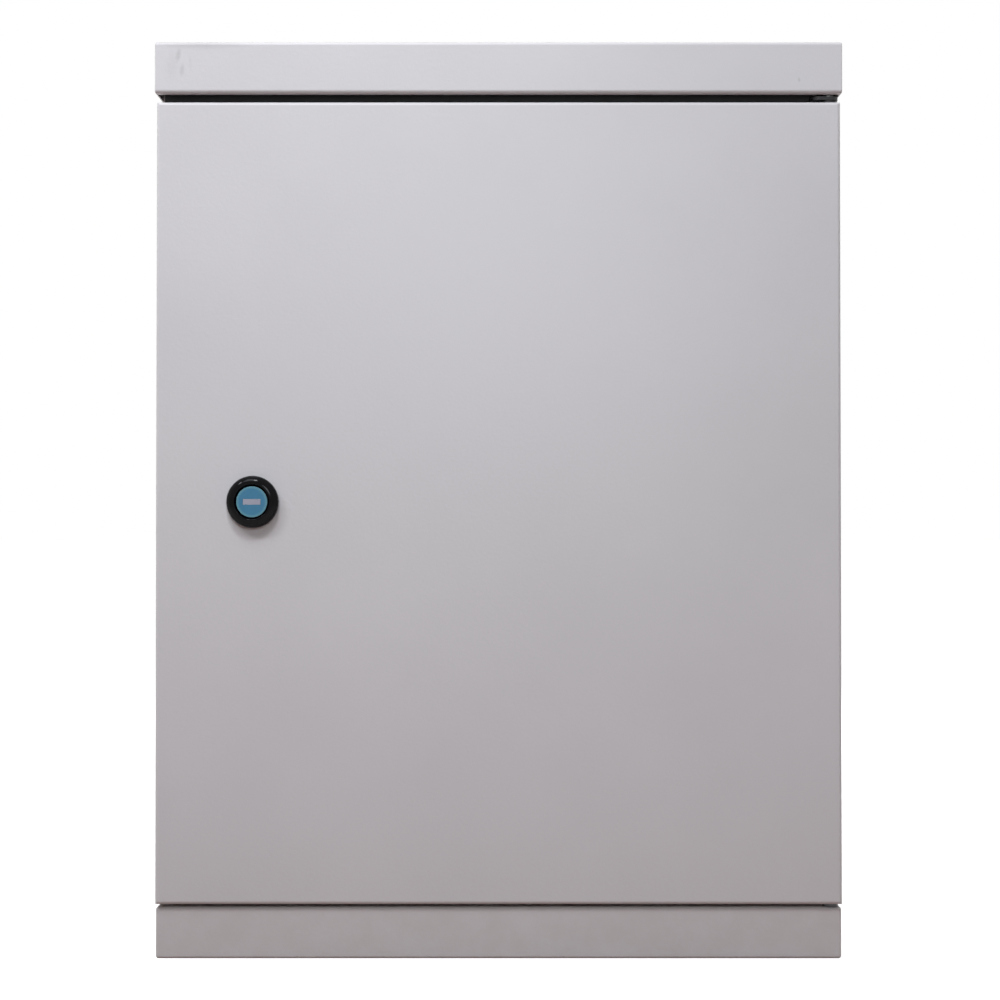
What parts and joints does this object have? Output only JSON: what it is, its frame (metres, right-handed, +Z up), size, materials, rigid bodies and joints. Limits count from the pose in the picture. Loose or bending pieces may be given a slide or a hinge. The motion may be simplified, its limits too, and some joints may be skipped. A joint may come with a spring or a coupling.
{
  "type": "roadside utility cabinet",
  "caption": "Painted sheet-steel cabinet on a low plinth, with an overhanging sloped roof, a hinged door sealed against a lipped frame and a quarter-turn cam lock.",
  "frame": {"origin": "on the ground, at the centre of the four anchor holes in the plinth's foot", "axes": "+Z up, +Y from the door to the back, +X to the hinge side seen from the front"},
  "size_m": [0.6, 0.307, 0.7999],
  "materials": {
    "paint": "light grey powder coat, fine orange peel",
    "black_steel": "black powder coat",
    "galvanised": "galvanised sheet",
    "zinc": "bright zinc plate",
    "earth_brass": "plain brass",
    "foam": "foamed polyurethane skin",
    "rubber": "matt sheet rubber",
    "nylon": "moulded nylon",
    "lock_black": "gloss black moulding",
    "lock_blue": "satin blue moulding",
    "keyway_grey": "satin pale grey moulding"
  },
  "bodies": {
    "cabinet": {"plinth_frame": "paint", "body_wrap": "paint", "body_head": "paint", "body_floor": "paint", "head_strip": "rubber", "plinth_bolts": "zinc", "plinth_nuts": "zinc", "gland_gasket": "rubber", "gland_plate": "galvanised", "gland_screws": "zinc", "mounting_studs": "zinc", "mounting_plate": "galvanised", "mounting_washers": "zinc", "mounting_nuts": "zinc", "body_earth_stud": "earth_brass", "body_earth_washers": "zinc", "body_earth_nuts": "zinc", "roof_rail_left": "paint", "roof_rail_right": "paint", "roof_seals": "rubber", "roof_bolts": "zinc", "roof_nuts": "zinc", "roof_canopy": "paint", "hinge_bracket": "black_steel", "bracket_screws": "zinc", "upper_hinge_pin": "zinc", "lower_hinge_pin": "zinc"},
    "door": {"door_panel": "paint", "upper_hinge_bush": "nylon", "lower_hinge_bush": "nylon", "door_gasket": "foam", "door_stiffener_left": "paint", "door_stiffener_right": "paint", "door_earth_stud": "earth_brass", "door_earth_washer": "zinc", "door_earth_nut": "zinc", "lock_seal": "rubber", "lock_housing": "lock_black", "lock_nut": "zinc"},
    "lock": {"lock_core": "zinc", "lock_face": "lock_blue", "keyway_insert": "keyway_grey", "lock_cam": "zinc", "cam_washer": "zinc", "cam_bolt": "zinc"}
  },
  "joints": [
    {"name": "door_swing", "type": "hinge", "parent": "cabinet", "child": "door", "pos_m": [0.29, -0.135, 0.398], "axis": [0, 0, 1], "range_deg": [0, 130]},
    {"name": "lock_turn", "type": "hinge", "parent": "door", "child": "lock", "pos_m": [-0.214, -0.146, 0.398], "axis": [0, 1, 0], "range_deg": [0, 90]}
  ]
}
